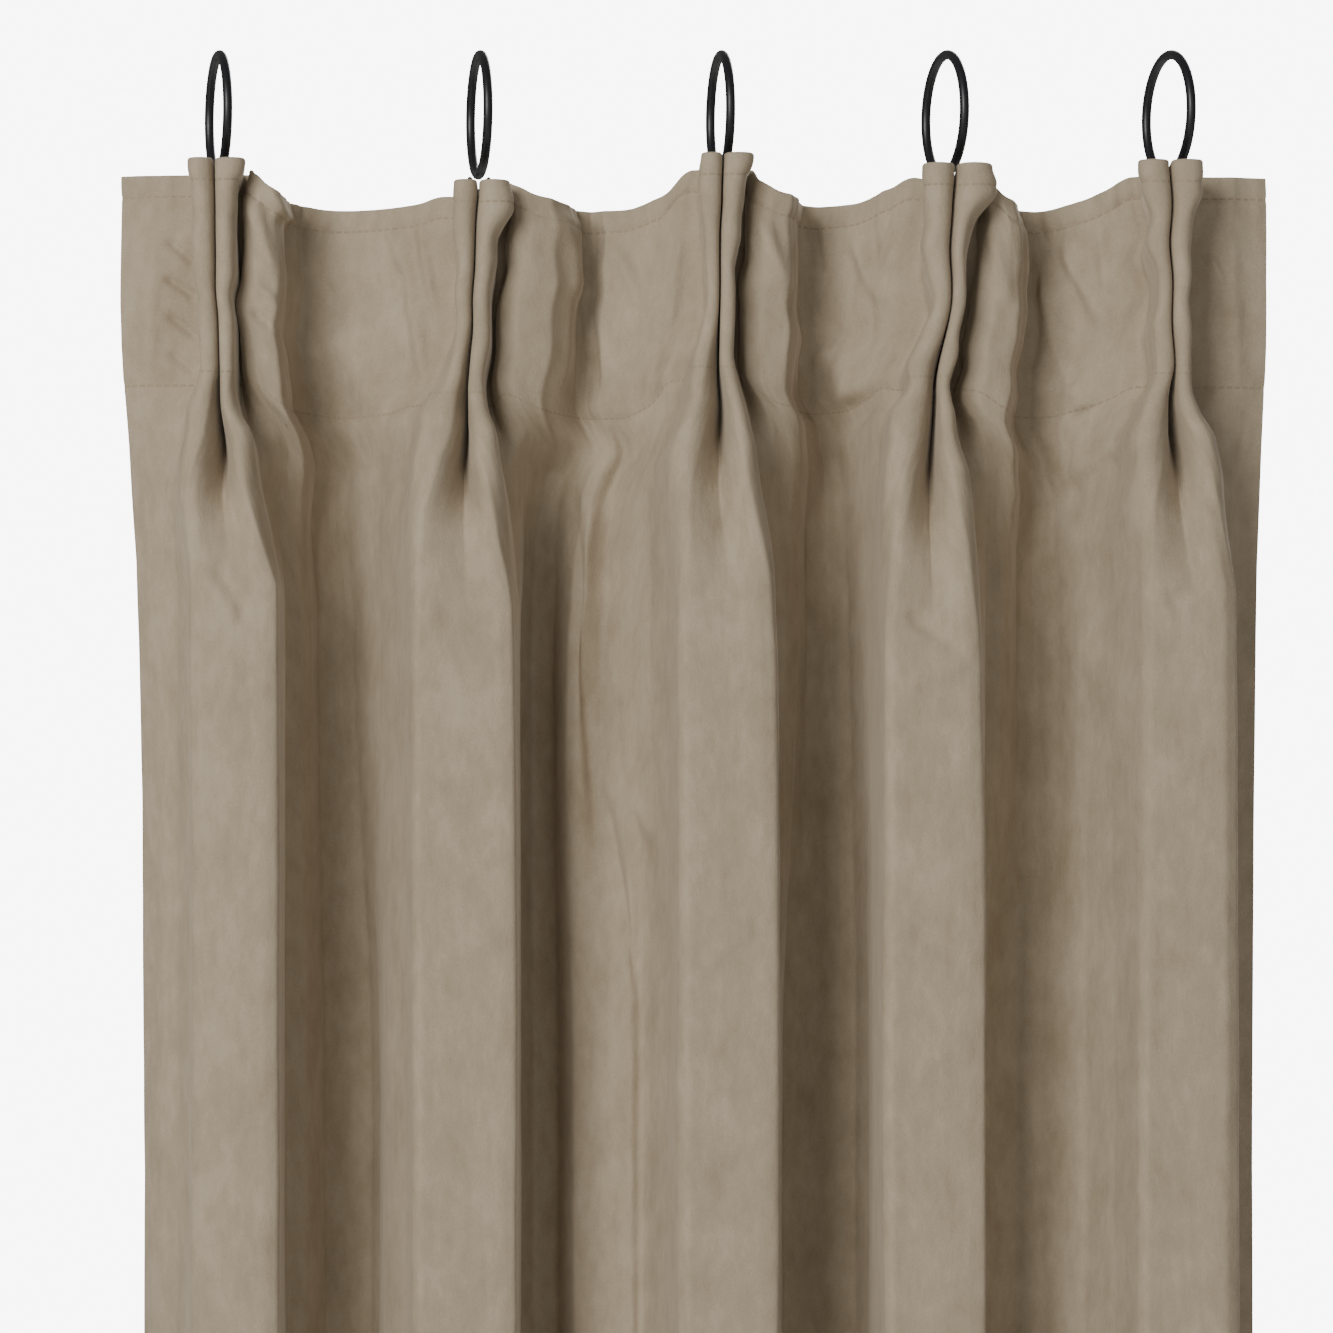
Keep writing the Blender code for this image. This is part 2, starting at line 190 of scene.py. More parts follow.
def finger(half_width):
    """Path of one finger from the slit outwards: inner side, round tip, outer side and root."""
    turn = np.radians(np.linspace(180, 360, 9))
    middle_x, middle_y = SLIT_HALF + half_width, FINGER_FRONT + half_width
    tip = np.stack([middle_x + half_width * np.cos(turn), middle_y + half_width * np.sin(turn)], axis=1)
    foot = SLIT_HALF + 2 * min(half_width, FINGER_ROOT_HALF)
    inner = [(0.0, PLEAT_BACK), (SLIT_HALF, PLEAT_BACK - 0.8)]
    outer = [(foot, PLEAT_BACK - 3.0), (foot + 2.0, PLEAT_BACK)]
    return np.concatenate([inner, tip, outer])


# Plans of the cloth from pleat to pleat, one row for each space: the heading, the folds that hang
# just below it, and the folds further down
HEADING_PLAN = (
    ((-213.5, -11), (-214.8, -19), (-214, -27), (-208, -31), (-200, -29), (-197.5, -20), (-198, 2),
     (-192, 13), (-182, 14), (-165, 8), (-150, 1), (-138, -3), (-128, -8), (-119.5, -11)),
    ((-89.5, -11), (-91, -19), (-89, -26), (-80, -29), (-68, -25), (-60, -12), (-57, 6), (-50, 9),
     (-45, 1), (-38, 1), (-25, -2), (-15, -8), (-3, -11)),
    ((27, -11), (25.6, -18), (27, -26), (36, -29), (45, -26), (48, -16), (51, 11), (58, 14),
     (68, 10), (80, 2), (90, -5), (98, -10), (105.5, -11)),
    ((136.5, -11), (135.6, -19), (137, -27), (146, -31), (153, -27), (156, -14), (159, 12),
     (166, 13), (175, 7), (187, -1), (197, -6), (205, -10), (213.5, -11)),
)
UPPER_PLAN = (
    ((-215.6, -52), (-200, -51), (-195, -49), (-195.5, -15), (-196, -2), (-188, 2), (-185, 14),
     (-183, 29), (-172, 32), (-166, 28), (-150, 2), (-141, -22), (-132.5, -49), (-130, -53),
     (-124, -53), (-106.4, -52)),
    ((-106.4, -52), (-90, -51), (-84.5, -49), (-84, -10), (-84, 20), (-78, 30), (-68, 28),
     (-61, 8), (-54, 5), (-49, 10), (-44, 13), (-36, 5), (-20, -12), (-11, -34),
     (-6.5, -50), (-3, -53), (4, -53), (16.7, -52)),
    ((16.7, -52), (33, -51), (39, -49), (40, -20), (40, 0), (46, 4), (51, 14), (55, 30), (68, 33),
     (77, 26), (84, 0), (88, -30), (90.5, -51), (94, -53.5), (100, -53), (112.5, -52)),
    ((112.5, -52), (130, -51), (135, -49), (138, -15), (141, 2), (150, 4), (154, 12), (158, 27),
     (168, 31), (178, 23), (196, -8), (206, -32), (211.5, -49), (215, -53), (221, -53),
     (234, -52)),
)
LOWER_PLAN = (
    ((-215.6, -52), (-202, -52), (-196, -49.5), (-197, -15), (-198, 2), (-188, 6), (-184, 18),
     (-181, 30), (-170, 34), (-158, 33), (-153, 22), (-147, -10), (-136, -34), (-132.5, -50),
     (-129, -54), (-123, -53), (-106.4, -52)),
    ((-106.4, -52), (-90, -51), (-84, -49.5), (-84, -10), (-84, 20), (-78, 32), (-67, 30),
     (-59, 10), (-46, 2), (-36, -2), (-29, -6), (-25, -3), (-21, -8), (-12, -28), (-7, -50),
     (-3, -54), (4, -53), (16.7, -52)),
    ((16.7, -52), (33, -51), (39.5, -49.5), (40, -20), (40, 4), (43, 28), (50, 33), (66, 33),
     (80, 33), (86, 20), (88, -12), (89.5, -50), (93, -54), (100, -53), (114.6, -52)),
    ((114.6, -52), (130, -51), (137.5, -49), (138, -15), (140, 8), (148, 17), (158, 21),
     (170, 18), (190, 0), (202, -22), (206, -36), (209.5, -50), (213, -54), (220, -53),
     (234, -52)),
)
# The same three plans of the flaps outside the first and the last pleat, from the edge inwards
LEFT_FLAP = (
    ((-276, -5), (-262, -9), (-250, -10), (-243, -11)),
    ((-266, 6), (-256, -6), (-246, -14), (-240, -28), (-237, -46), (-232, -50), (-215.6, -52)),
    ((-264, 8), (-255, -8), (-247, -16), (-241, -28), (-237, -46), (-232, -50), (-215.6, -52)),
)
RIGHT_FLAP = (
    ((276, -5), (266, -8), (256, -10), (243, -11)),
    ((272, 12), (262, 10), (257, -8), (257, -30), (256, -46), (250, -51), (234, -52)),
    ((272, 14), (263, 12), (258, -8), (258, -30), (257, -46), (251, -51), (234, -52)),
)
# Height of the heading edge across each space, by share of the way from root to root
EDGE_SHARE = (0.0, 0.19, 0.44, 0.66, 0.86, 1.0)
EDGE_DROP = (
    (-41.5, -54.5, -57.8, -58.0, -56.5, -52.0),
    (-48.0, -55.0, -58.6, -58.8, -53.0, -44.5),
    (-44.5, -53.5, -55.7, -55.0, -49.0, -42.5),
    (-46.0, -57.0, -58.2, -54.5, -48.0, -42.0),
)


# How far a fold has widened, and how far its slit has closed, at depths below where each starts
WIDENED = (0, 5, 12, 17, 31, 40, 64, 104), (0, 0.05, 0.2, 0.34, 0.68, 0.77, 0.9, 1)
CLOSED = (0, 14, 30, 50, 84), (0, 0.1, 0.4, 0.78, 1)


def widening(depth, start, slow):
    """How far a fold has widened at a depth: 0 in the pinch and 1 where it hangs."""
    return np.interp((depth - start) / slow, *WIDENED)


def closing(depth, start, slow):
    """How far the slit in a fold has closed at a depth, after the fold has widened."""
    return np.interp((depth - start) / slow, *CLOSED)


def row_depths():
    """Depths of the rows of the mesh, close together at the heading and wide below."""
    steps = [np.arange(0, 16, 1.0), np.arange(16, 110, 1.8), np.arange(110, 220, 2.0),
             np.arange(220, 640, 4.0), np.arange(640, DROP - 5, 10.0), [DROP]]
    return np.concatenate(steps)


def heading_path(space, share):
    """Plan of the heading from slit to slit at a share of the way from its edge to the pinch."""
    widths = np.array(FINGER_TOP) * (1 - share) + np.array(FINGER_PINCH) * share
    place = np.array(LINES)[:, 0] * (1 - share) + np.array(LINES)[:, 1] * share
    parts = []
    if space > 0:
        parts.append(finger(widths[space - 1, 1]) + (place[space - 1], 0.0))
    if space == 0:
        parts.append(np.array(LEFT_FLAP[0], float))
    elif space == 5:
        parts.append(np.array(RIGHT_FLAP[0], float)[::-1])
    else:
        middle = np.array(HEADING_PLAN[space - 1], float)[1:-1]
        middle[:3, 0] -= 4.5 * share
        parts.append(middle)
    if space < 5:
        parts.append(finger(widths[space, 0])[::-1] * (-1.0, 1.0) + (place[space], 0.0))
    return np.concatenate(parts)


def hanging_path(space, level):
    """Plan of the hanging folds from slit to slit: level 0 is just below the heading."""
    if space == 0:
        return LEFT_FLAP[1 + level]
    if space == 5:
        return RIGHT_FLAP[1 + level][::-1]
    return (UPPER_PLAN, LOWER_PLAN)[level][space - 1]


def lobed_path(space):
    """Plan of the folds just under the pinch, where a slit still parts each of them in two lobes."""
    path = [tuple(point) for point in hanging_path(space, 0)]
    if space > 0:
        path = parted(path[0][0], 1.0) + path[1:]
    if space < 5:
        path = path[:-1] + parted(path[-1][0], -1.0)[::-1]
    return path


def parted(line, way):
    """The side of a slit and the round shoulder of the lobe beside it, from the slit's root."""
    side = ((0.0, LOBE_ROOT), (0.7, LOBE_ROOT - 4.0), (1.8, -40.0), (3.6, -47.0), (7.5, -51.3))
    return [(line + way * aside, y) for aside, y in side]


def plan_weights(depth, wide, shut):
    """Weights of the five plans: heading edge, pinch, lobes, and the upper and lower hanging folds."""
    pinch = smooth(depth / 66.0)
    lower = smooth((depth - 190.0) / 230.0)
    return [(1 - wide) * (1 - pinch), (1 - wide) * pinch, wide * (1 - shut),
            wide * shut * (1 - lower), wide * shut * lower]


def fold_factor(d, from_slit, dx, plans, opening, shutting, ridge):
    """Factor on a row's widths that brings the fold beside a slit to the width its plans give it.

    The plans' own widths are mixed as the slit's opening says, the knuckles make them a little
    wider or narrower, and their quotient by the width that the row has is eased out at FOLD_REACH.
    """
    count = dx.shape[1]
    fold = smooth((FOLD_REACH - from_slit * SPACE_CLOTH * count / COLUMNS) / FOLD_FADE)
    knuckles = KNUCKLES * ridge * smooth((150 - d) / 40)
    shares = plan_weights(d, widening(d, *opening), closing(d, *shutting))
    wanted = sum(w * (fold * np.cos(plan[0])).sum() * plan[1] / count for w, plan in zip(shares, plans))
    has = (dx * fold[None, :]).sum(axis=1, keepdims=True)
    return 1 + fold[None, :] * (wanted * (1 + knuckles) / has - 1)


def space_plan(space, depths):
    """x and y of every point of one space, rows down the drop and columns across the cloth.

    The directions of the five plans are mixed row by row and summed along the cloth. What a row
    then lacks or has to spare is shared out between its folds, by the size of each step, so that
    it starts and ends on the pleats' lines.
    """
    count = COLUMNS if 0 < space < 5 else FLAP_COLUMNS
    paths = ((heading_path(space, 0.0), 1.0), (heading_path(space, 1.0), 1.0), (lobed_path(space), 1.3),
             (hanging_path(space, 0), 1.6), (hanging_path(space, 1), 1.8))
    plans = [directions(path, blur, count) for path, blur in paths]
    across = (np.arange(count) + 0.5) / count
    d = depths[:, None]
    before, after = max(space - 1, 0), min(space, 4)
    left = OPENING[before][1] if space > 0 else OPENING[0][0]
    right = OPENING[after][0] if space < 5 else OPENING[4][1]
    toward = smooth(across)[None, :]
    wide = widening(d, *left) * (1 - toward) + widening(d, *right) * toward
    shut = closing(d, *CLOSING[before]) * (1 - toward) + closing(d, *CLOSING[after]) * toward
    weights = plan_weights(d, wide, shut)
    angle = sum(w * plan[0] for w, plan in zip(weights, plans))
    length = sum(w.mean(axis=1, keepdims=True) * plan[1] for w, plan in zip(weights, plans))
    step = length / count
    dx, dy = np.cos(angle) * step, np.sin(angle) * step
    if space > 0:
        ridge = ripple(d, 0 * d + space, RIGHT_SEED, 13.0, 1.0)
        dx *= fold_factor(d, across, dx, plans, left, CLOSING[before], ridge)
    if space < 5:
        ridge = ripple(d, 0 * d + space, LEFT_SEED, 13.0, 1.0)
        dx *= fold_factor(d, 1 - across, dx, plans, right, CLOSING[after], ridge)
    loose = smooth((across - 0.22) / 0.1) * smooth((0.78 - across) / 0.1) + 0.02
    if space == 0:
        loose = smooth((0.5 - across) / 0.2) + 0.02
    if space == 5:
        loose = smooth((across - 0.5) / 0.2) + 0.02
    summed = []
    for moves, (first, last) in zip((dx, dy), ends(space, depths)):
        slack = (last - first)[:, None] - moves.sum(axis=1, keepdims=True)
        share = (np.abs(moves) + 0.02 * step) * loose
        moves += slack * share / share.sum(axis=1, keepdims=True)
        moves = np.concatenate([np.zeros((len(depths), 1)), np.cumsum(moves, axis=1)], axis=1)
        summed.append(moves + first[:, None])
    return summed


def slit_place(pleat, depths):
    """x and y of the cut in the middle of a pleat, down the drop."""
    x = eased(depths, LINE_DEPTHS, LINES[pleat])
    x = x + WOBBLE * ripple(depths, 0 * depths + pleat, SLIT_SEED, 19.0, 1.0) * smooth((185 - depths) / 60)
    wide = np.minimum(widening(depths, *OPENING[pleat][0]), widening(depths, *OPENING[pleat][1]))
    root = PLEAT_BACK + wide * (LOBE_ROOT - PLEAT_BACK)
    return x, root + wide * closing(depths, *CLOSING[pleat]) * (FOLD_FRONT - root)


def ends(space, depths):
    """Where a space starts and ends in plan, as (first, last) for x and for y."""
    if space > 0:
        first = slit_place(space - 1, depths)
    if space < 5:
        last = slit_place(space, depths)
    if space in (0, 5):
        flap = LEFT_FLAP if space == 0 else RIGHT_FLAP
        mixed = widening(depths, 60, 4.0)
        edge = [flap[0][0][i] + mixed * (flap[1][0][i] - flap[0][0][i]) for i in (0, 1)]
        first, last = (edge, last) if space == 0 else (first, edge)
    return (first[0], last[0]), (first[1], last[1])


def edge_height(space, x, y):
    """Height of the heading edge over a plan row.

    Between the fingers it follows EDGE_DROP, smoothed with a bell. On a finger it is the pleat's
    own height, lifted by TIP_LIFT from its root to its tip.
    """
    if space in (0, 5):
        pleat = 0 if space == 0 else 4
        base = np.full_like(x, TIPS[pleat] - TIP_LIFT)
    else:
        low, high = HEADING_PLAN[space - 1][0][0], HEADING_PLAN[space - 1][-1][0]
        base = eased((x - low) / (high - low), EDGE_SHARE, EDGE_DROP[space - 1])
        bell = hump(np.arange(-12, 13), 0.0, 5.0)
        base = np.convolve(np.pad(base, 12, mode="edge"), bell / bell.sum(), "valid")
    run = np.concatenate([[0.0], np.cumsum(np.hypot(np.diff(x), np.diff(y)))])
    lift = np.zeros_like(run)
    for pleat, from_slit in ((space - 1, run), (space, run[-1] - run)):
        if 0 <= pleat < 5:
            within = smooth((FINGER_CLOTH - from_slit) / FOLD_FADE)
            base = base * (1 - within) + (TIPS[pleat] - TIP_LIFT) * within
            lift = np.maximum(lift, within)
    return base + TIP_LIFT * smooth((-16.0 - y) / 26.0) * lift


def panel_grid():
    """The whole face as arrays of x, y, z, with the column where each space starts."""
    depths = row_depths()
    xs, ys, zs, starts = [], [], [], [0]
    for space in range(6):
        x, y = space_plan(space, depths)
        edge = edge_height(space, x[0], y[0])
        z = edge[None, :] + (HEM_LEVEL - edge[None, :]) * depths[:, None] / DROP
        keep = slice(None) if space == 0 else slice(1, None)
        xs.append(x[:, keep]), ys.append(y[:, keep]), zs.append(z[:, keep])
        starts.append(starts[-1] + x.shape[1] - 1)
    points = np.stack([np.concatenate(a, axis=1) for a in (xs, ys, zs)], axis=2)
    return points, depths, starts


def normals_of(points):
    """Unit normals of a grid, facing the room: the row's run crossed with the fall of the cloth."""
    down = np.gradient(points, axis=0)
    across = np.gradient(points, axis=1)
    normal = np.cross(down, across)
    return normal / np.maximum(np.linalg.norm(normal, axis=2, keepdims=True), 1e-9)


def cloth_run(points):
    """Cloth length across the panel, from the row lengths averaged over the drop."""
    steps = np.linalg.norm(np.diff(points, axis=1), axis=2).mean(axis=0)
    return np.concatenate([[0.0], np.cumsum(steps)])


# ---- Wrinkles ------------------------------------------------------------------------------------

def soft_line(x, z, start, end, width, taper=0.25):
    """1 along a line between two points seen from the room, falling off to its sides and ends."""
    ax, az = start
    bx, bz = end
    length = math.hypot(bx - ax, bz - az)
    along = ((x - ax) * (bx - ax) + (z - az) * (bz - az)) / length ** 2
    aside = ((x - ax) * (bz - az) - (z - az) * (bx - ax)) / length
    fade = smooth(along / taper) * smooth((1 - along) / taper)
    return np.exp(-((aside / width) ** 2)) * fade


DRAG = 1.7  # factor on all the heights
# Soft ridges and creases: first x, first z, last x, last z, half width and height, millimetres
DRAG_LINES = (
    # Spaces of the heading, from left to right
    (-212, -52, -199, -95, 4.0, 2.2), (-203, -48, -195, -66, 2.6, 1.8),
    (-142, -60, -128, -150, 3.2, 1.6), (-148, -62, -140, -90, 2.6, 1.2),
    (-134, -56, -124, -110, 2.4, 1.2), (-175, -110, -150, -158, 11.0, 2.6),
    (-64, -56, -52, -105, 4.0, 2.2), (-58, -62, -44, -160, 3.0, -1.8), (-40, -72, -22, -110, 4.5, 1.8),
    (-6, -66, -12, -120, 3.2, 1.4), (-28, -105, -18, -150, 7.0, 1.8), (30, -60, 45, -100, 4.0, 1.8),
    (58, -58, 62, -90, 2.4, -1.4), (76, -66, 90, -105, 3.6, 2.0), (64, -118, 78, -152, 8.0, 2.6),
    (88, -60, 84, -130, 3.0, -1.2), (142, -62, 150, -110, 3.6, 0.9), (164, -64, 182, -150, 4.2, 1.5),
    (172, -66, 190, -112, 3.2, -1.0), (176, -70, 200, -118, 4.4, 1.8),
    (182, -140, 190, -156, 6.0, 1.8), (196, -60, 200, -120, 3.0, 1.2),
    # Hanging folds
    (-60, -170, -45, -390, 3.4, -1.4), (-45, -330, -26, -440, 3.0, -1.6),
    (-30, -340, -14, -368, 4.0, 1.2), (-228, -226, -206, -262, 4.0, -1.2),
    (-226, -300, -200, -286, 5.0, 0.9), (-124, -250, -92, -262, 6.0, -0.8),
    (-122, -420, -90, -400, 5.0, 0.8), (-120, -330, -96, -352, 6.0, -0.8),
    (0, -240, 26, -256, 5.0, -0.9), (2, -420, 30, -398, 5.0, 0.8), (6, -520, 34, -508, 6.0, -0.8),
    (98, -252, 128, -272, 4.0, -1.2), (96, -290, 130, -276, 4.0, 1.0),
    (100, -400, 130, -418, 5.0, -1.0), (102, -470, 132, -452, 6.0, 0.8),
    (176, -198, 206, -176, 7.0, -1.4), (184, -260, 206, -300, 8.0, 1.2),
    (220, -250, 246, -236, 5.0, -0.9), (222, -400, 250, -415, 6.0, 0.8),
    # Heading beside the first pleat, and both flaps
    (-254, -72, -237, -86, 2.4, -1.5), (-255, -90, -237, -102, 2.4, -1.6),
    (-254, -108, -237, -121, 2.4, -1.5), (-253, -126, -238, -138, 2.4, -1.2),
    (-210, -96, -198, -104, 2.0, 1.2), (-211, -108, -199, -118, 2.0, -1.0),
    (-258, -60, -262, -140, 4.0, 1.0), (258, -62, 262, -150, 4.0, 1.0), (248, -80, 255, -96, 2.4, 1.2),
)


def wrinkles(points, depths, run, starts):
    """Height above the smooth cloth, in millimetres: slow swells, puckers, seams and drag lines.

    Each is noise or a bell times where it belongs, all are summed, and the sum is calmed on the
    fingers of the pleats. A ripple's third value is its seed, and its last two are its cell sizes.
    """
    x, y, z = points[..., 0], points[..., 1], points[..., 2]
    d = depths[:, None]
    u = run[None, :]
    below = smooth((d - 100) / 80)
    header = smooth((108 - d) / 14)
    back = smooth((y + 20) / 10)
    # Swells of the hanging cloth and its fine unevenness
    height = 0.75 * below * ripple(u, d, 3, 46.0, 150.0)
    height += 0.35 * below * ripple(u, d, 5, 21.0, 62.0)
    height += 0.18 * ripple(u + 0.35 * d, d, 8, 13.0, 30.0)
    # Puckers of the heading between the pleats
    height += 1.7 * header * back * smooth(d / 12) * ripple(u + 0.22 * d, d, 11, 15.0, 70.0)
    height += 0.8 * header * back * ripple(u, d, 12, 6.5, 40.0) * (0.35 + 0.65 * smooth((60 - d) / 50))
    height += 0.8 * hump(d, 8.0, 14.0) * back * ripple(u, 0 * d, 14, 3.6, 50.0)
    # Grooves of the two rows of stitches, and the cloth that swells beside them
    height -= 0.55 * hump(d, EDGE_STITCH, 1.3) * smooth(d / 3)
    height += 0.25 * hump(d, 5.0, 3.5)
    height -= 0.45 * hump(d, HEADING, 1.6) * back
    height += 0.35 * hump(d, HEADING - 6.0, 5.0) * back * (0.5 + ripple(u, 0 * d, 17, 18.0, 50.0))
    for x0, z0, x1, z1, width, rise in DRAG_LINES:
        height += DRAG * rise * soft_line(x, z, (x0, z0), (x1, z1), width)
    from_slit = np.min([np.abs(run - run[start]) for start in starts[1:-1]], axis=0)[None, :]
    calm = (1 - smooth((from_slit - 24.0) / 12.0)) * smooth((175 - d) / 50)
    return height * (1 - 0.95 * calm)


# ---- Meshes --------------------------------------------------------------------------------------

def object_of(mesh, material):
    """The mesh as an object of the same name in the scene, at the origin."""
    mesh.materials.append(material)
    made = bpy.data.objects.new(mesh.name, mesh)
    bpy.context.scene.collection.objects.link(made)
    return made


def mesh_from_grid(name, points, uv, normals, material, flip=False):
    """A smooth quad mesh through a grid of points in millimetres, with its cloth lengths as UVs."""
    rows, columns = points.shape[:2]
    index = np.arange(rows * columns).reshape(rows, columns)
    quads = np.stack([index[:-1, :-1], index[1:, :-1], index[1:, 1:], index[:-1, 1:]], axis=2)
    quads = quads.reshape(-1, 4)
    if flip:
        quads = quads[:, ::-1]
    mesh = bpy.data.meshes.new(name)
    mesh.vertices.add(rows * columns)
    mesh.vertices.foreach_set("co", (points * MM).astype(np.float32).ravel())
    mesh.loops.add(quads.size)
    mesh.loops.foreach_set("vertex_index", quads.ravel().astype(np.int32))
    mesh.polygons.add(len(quads))
    mesh.polygons.foreach_set("loop_start", np.arange(0, quads.size, 4, dtype=np.int32))
    layer = mesh.uv_layers.new(name="cloth")
    layer.data.foreach_set("uv", (uv.reshape(-1, 2)[quads.ravel()] * MM).astype(np.float32).ravel())
    mesh.update(calc_edges=True)
    mesh.polygons.foreach_set("use_smooth", np.ones(len(quads), bool))
    facing = -normals if flip else normals
    mesh.normals_split_custom_set_from_vertices(facing.reshape(-1, 3).tolist())
    return object_of(mesh, material)


def turned_edge(points, normals, depths):
    """Adds the turned heading edge above a grid and the turned hem below it.

    The turn is half a circle from the face to the back, CLOTH across, and the cloth then runs
    down or up the back at that distance behind the face.
    """
    up = np.array([0.0, 0.0, 1.0])
    roll = np.radians(np.linspace(180, 22.5, 8))[:, None, None]
    edge, facing = points[0], normals[0]
    middle = edge - facing * CLOTH / 2
    top = middle[None] + CLOTH / 2 * (np.cos(roll) * facing + np.sin(roll) * up)
    back_rows = np.searchsorted(depths, (12.0, 8.0, 4.0, 1.0))
    behind = points[back_rows] - normals[back_rows] * CLOTH
    above = np.concatenate([behind, top])
    roll = np.radians(np.linspace(22.5, 180, 8))[:, None, None]
    foot, facing = points[-1], normals[-1]
    middle = foot - facing * CLOTH / 2
    bottom = middle[None] + CLOTH / 2 * (np.cos(roll) * facing - np.sin(roll) * up)
    hem_rows = np.searchsorted(depths, (DROP - 12, DROP - 32, DROP - 52, DROP - 72, DROP - 92))
    under = points[hem_rows] - normals[hem_rows] * CLOTH
    return np.concatenate([above, points, bottom, under]), len(above), len(bottom) + len(under)


# ---- Materials -----------------------------------------------------------------------------------

def colour(code):
    """Linear colour of an sRGB hex value."""
    parts = [int(code[i:i + 2], 16) / 255 for i in (1, 3, 5)]
    return tuple(c / 12.92 if c <= 0.04045 else ((c + 0.055) / 1.055) ** 2.4 for c in parts) + (1.0,)


def add(tree, kind, values=(), stops=(), **settings):
    """Adds a node and gives its outputs.

    Settings are its properties, values are the numbers and sockets that feed its inputs, and
    stops are the places and hex colours on a ramp.
    """
    node = tree.nodes.new("ShaderNode" + kind)
    for name, value in settings.items():
        setattr(node, name, value)
    for name, value in dict(values).items():
        if isinstance(value, bpy.types.NodeSocket):
            tree.links.new(value, node.inputs[name])
        else:
            node.inputs[name].default_value = value
    for element, (place, code) in zip(node.color_ramp.elements if stops else (), stops):
        element.position = place
        element.color = colour(code)
    return node.outputs


def new_material(name):
    """A material with its node tree and its shader."""
    made = bpy.data.materials.new(name)
    made.use_nodes = True
    return made, made.node_tree, made.node_tree.nodes["Principled BSDF"]


def velvet():
    """Cotton velvet: a short brushed pile, soft in its highlights and blotchy where it lies askew.

    Blotches are about 21 by 38 mm, brush marks 5 by 11 mm and the grain of the pile 1.1 mm, which
    is coarser than real pile so that it shows. Its tone is the three of them added by weight, and
    a stitch is where both the distance to its row and its beat along the row are small.
    """
    made, tree, shader = new_material("cotton_velvet")
    uv = add(tree, "UVMap", uv_map="cloth")["UV"]
    blotches = add(tree, "Mapping", {"Vector": uv, "Scale": (48.0, 26.0, 1.0)})[0]
    blotch = add(tree, "TexNoise", {"Vector": blotches, "Scale": 1.0, "Detail": 4.0, "Roughness": 0.6})["Fac"]
    strokes = add(tree, "Mapping", {"Vector": uv, "Scale": (210.0, 90.0, 1.0)})[0]
    brush = add(tree, "TexNoise", {"Vector": strokes, "Scale": 1.0, "Detail": 3.0, "Roughness": 0.55})["Fac"]
    grain = add(tree, "TexNoise", {"Vector": uv, "Scale": 900.0, "Detail": 2.0})["Fac"]
    tone = pile = 0.0
    for pattern, in_tone, in_pile in ((blotch, 0.52, 0.0), (brush, 0.28, 0.65), (grain, 0.20, 0.35)):
        tone = add(tree, "Math", {0: pattern, 1: in_tone, 2: tone}, operation="MULTIPLY_ADD")[0]
        if in_pile:
            pile = add(tree, "Math", {0: pattern, 1: in_pile, 2: pile}, operation="MULTIPLY_ADD")[0]
    dyed = add(tree, "ValToRGB", {"Fac": tone}, ((0.35, "#988A74"), (0.65, "#AFA18C")))["Color"]
    across, down, _ = add(tree, "SeparateXYZ", {"Vector": uv})
    rows = [add(tree, "Math", {0: down, 1: depth * MM, 2: STITCH_HALF * MM}, operation="COMPARE")[0]
            for depth in (EDGE_STITCH, HEADING)]
    row = add(tree, "Math", {0: rows[0], 1: rows[1]}, operation="MAXIMUM")[0]
    count = add(tree, "Math", {0: across, 1: 1 / (STITCH_PITCH * MM)}, operation="MULTIPLY")[0]
    beat = add(tree, "Math", {0: count}, operation="FRACT")[0]
    shows = add(tree, "Math", {0: beat, 1: STITCH_SHARE}, operation="LESS_THAN")[0]
    stitch = add(tree, "Math", {0: row, 1: shows}, operation="MULTIPLY")[0]
    sewn = add(tree, "Mix", {0: stitch, 6: dyed, 7: colour("#998B75")}, data_type="RGBA")[2]
    tree.links.new(sewn, shader.inputs["Base Color"])
    shader.inputs["Roughness"].default_value = 0.9
    shader.inputs["Specular IOR Level"].default_value = 0.15
    shader.inputs["Sheen Weight"].default_value = 0.65
    shader.inputs["Sheen Roughness"].default_value = 0.34
    shader.inputs["Sheen Tint"].default_value = colour("#E4D8C6")
    bump = add(tree, "Bump", {"Height": pile, "Strength": 0.45, "Distance": 0.0011})["Normal"]
    tree.links.new(bump, shader.inputs["Normal"])
    return made


def plain_weave(name, light, dark, pitch):
    """Plain-woven cotton, dull and even: sines of that pitch in millimetres both ways, multiplied."""
    made, tree, shader = new_material(name)
    uv = add(tree, "UVMap", uv_map="cloth")["UV"]
    waves = []
    for along in add(tree, "SeparateXYZ", {"Vector": uv})[:2]:
        turns = add(tree, "Math", {0: along, 1: math.pi / (pitch * MM)}, operation="MULTIPLY")[0]
        waves.append(add(tree, "Math", {0: turns}, operation="SINE")[0])
    weave = add(tree, "Math", {0: waves[0], 1: waves[1]}, operation="MULTIPLY")[0]
    slub = add(tree, "TexNoise", {"Vector": uv, "Scale": 60.0, "Detail": 3.0})["Fac"]
    tone = add(tree, "Math", {0: weave, 1: 0.12, 2: slub}, operation="MULTIPLY_ADD")[0]
    dyed = add(tree, "ValToRGB", {"Fac": tone}, ((0.3, dark), (0.7, light)))["Color"]
    tree.links.new(dyed, shader.inputs["Base Color"])
    shader.inputs["Roughness"].default_value = 0.8
    bump = add(tree, "Bump", {"Height": weave, "Strength": 0.3, "Distance": 0.0002})["Normal"]
    tree.links.new(bump, shader.inputs["Normal"])
    return made


